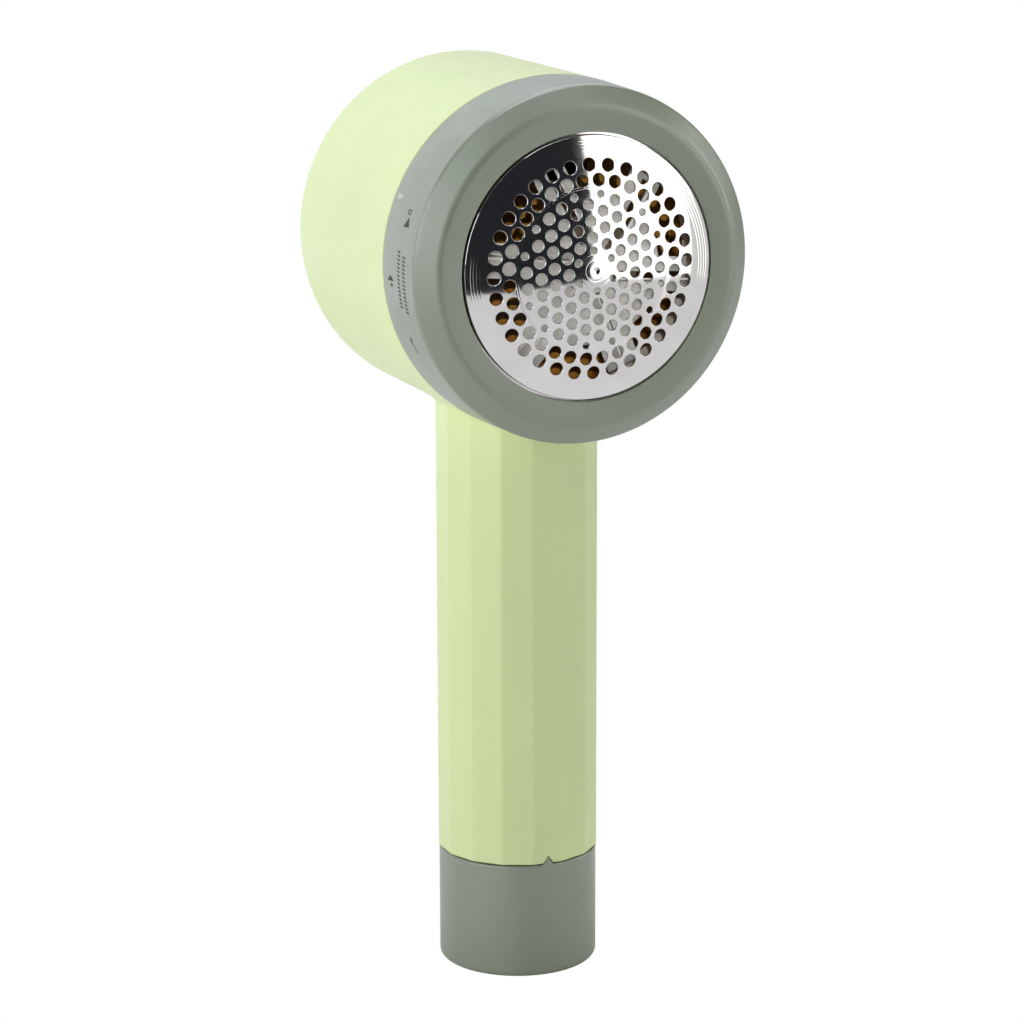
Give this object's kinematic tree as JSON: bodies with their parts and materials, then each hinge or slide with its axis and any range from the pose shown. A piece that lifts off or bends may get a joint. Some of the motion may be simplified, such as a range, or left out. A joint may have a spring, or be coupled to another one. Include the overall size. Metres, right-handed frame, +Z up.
{
  "type": "fabric shaver",
  "caption": "Cordless fabric shaver: round perforated foil in a twist-off collar, drum head with rear lint bin, faceted grip, pull-off base cap.",
  "frame": {"origin": "centre of the flat base that the shaver stands on", "axes": "+Z up the grip to the head, -Y the way the foil faces, +X to the right seen from the front"},
  "size_m": [0.075, 0.0773, 0.1973],
  "materials": {
    "body_green": "satin moulded plastic, pale green",
    "sage": "satin moulded plastic, sage",
    "foil_steel": "polished stainless steel",
    "blade_steel": "ground steel",
    "plated_steel": "zinc plated steel",
    "dark_plastic": "fine texture, dark grey",
    "amber_plastic": "satin moulded plastic, dark amber brown",
    "copper": "enamelled copper windings",
    "magnet": "sintered, matt",
    "brass": "nickel-brass strip",
    "board_green": "solder mask over glass fibre",
    "cell_wrap": "shrink wrap over a steel can",
    "seal_rubber": "matt rubber",
    "white_plastic": "translucent white",
    "lead_red": "wire insulation, red",
    "lead_black": "wire insulation, black"
  },
  "bodies": {
    "body": {"body_shell": "body_green", "motor_mount": "dark_plastic", "mount_screw_1": "plated_steel", "mount_screw_2": "plated_steel", "mount_screw_3": "plated_steel", "blade_chamber": "amber_plastic", "motor_can": "plated_steel", "motor_end_cap": "dark_plastic", "motor_magnet_1": "magnet", "motor_magnet_2": "magnet", "motor_terminal_1": "brass", "motor_terminal_2": "brass", "motor_screw_1": "plated_steel", "motor_screw_2": "plated_steel", "lint_duct": "dark_plastic", "chassis": "dark_plastic", "battery_cell": "cell_wrap", "battery_tab_top": "brass", "battery_tab_bottom": "brass", "control_board": "board_green", "board_screw_1": "plated_steel", "board_screw_2": "plated_steel", "micro_switch": "dark_plastic", "status_led": "white_plastic", "status_lens": "white_plastic", "driver_chip": "dark_plastic", "motor_capacitor": "dark_plastic", "button_bezel": "sage", "end_plug": "dark_plastic", "end_screw_1": "plated_steel", "end_screw_2": "plated_steel", "cap_seal": "seal_rubber", "usb_socket": "plated_steel", "usb_tongue": "dark_plastic", "charge_board": "board_green", "motor_lead_red": "lead_red", "motor_lead_black": "lead_black", "charge_lead_red": "lead_red", "charge_lead_black": "lead_black"},
    "lock_collar": {"collar": "sage", "foil": "foil_steel", "foil_retainer": "plated_steel"},
    "rotor": {"motor_shaft": "plated_steel", "motor_armature": "copper", "drive_dog": "plated_steel", "blade_spring": "plated_steel"},
    "cutter": {"blade_disc": "blade_steel", "blade_hub": "dark_plastic"},
    "bin": {"lint_bin": "body_green", "bin_seal": "seal_rubber"},
    "base_cap": {"bottom_cap": "sage"},
    "button": {"power_button": "sage", "switch_plunger": "white_plastic"}
  },
  "joints": [
    {"name": "collar_turn", "type": "hinge", "parent": "body", "child": "lock_collar", "pos_m": [0, 0, 0.1598], "axis": [0, -1, 0], "range_deg": [0, 20]},
    {"name": "rotor_spin", "type": "hinge", "parent": "body", "child": "rotor", "pos_m": [0, 0, 0.1598], "axis": [0, -1, 0], "continuous": true},
    {"name": "cutter_float", "type": "slide", "parent": "rotor", "child": "cutter", "axis": [0, 1, 0], "range_m": [0, 0.001], "stiffness_N_per_m": 400, "springref_m": -0.002, "deforming": ["blade_spring"]},
    {"name": "bin_slide", "type": "slide", "parent": "body", "child": "bin", "axis": [0, 1, 0], "range_m": [0, 0.018]},
    {"name": "cap_slide", "type": "slide", "parent": "body", "child": "base_cap", "axis": [0, 0, -1], "range_m": [0, 0.018]},
    {"name": "button_press", "type": "slide", "parent": "body", "child": "button", "axis": [0, -1, 0], "range_m": [0, 0.0006], "stiffness_N_per_m": 800, "springref_m": -0.0005}
  ]
}
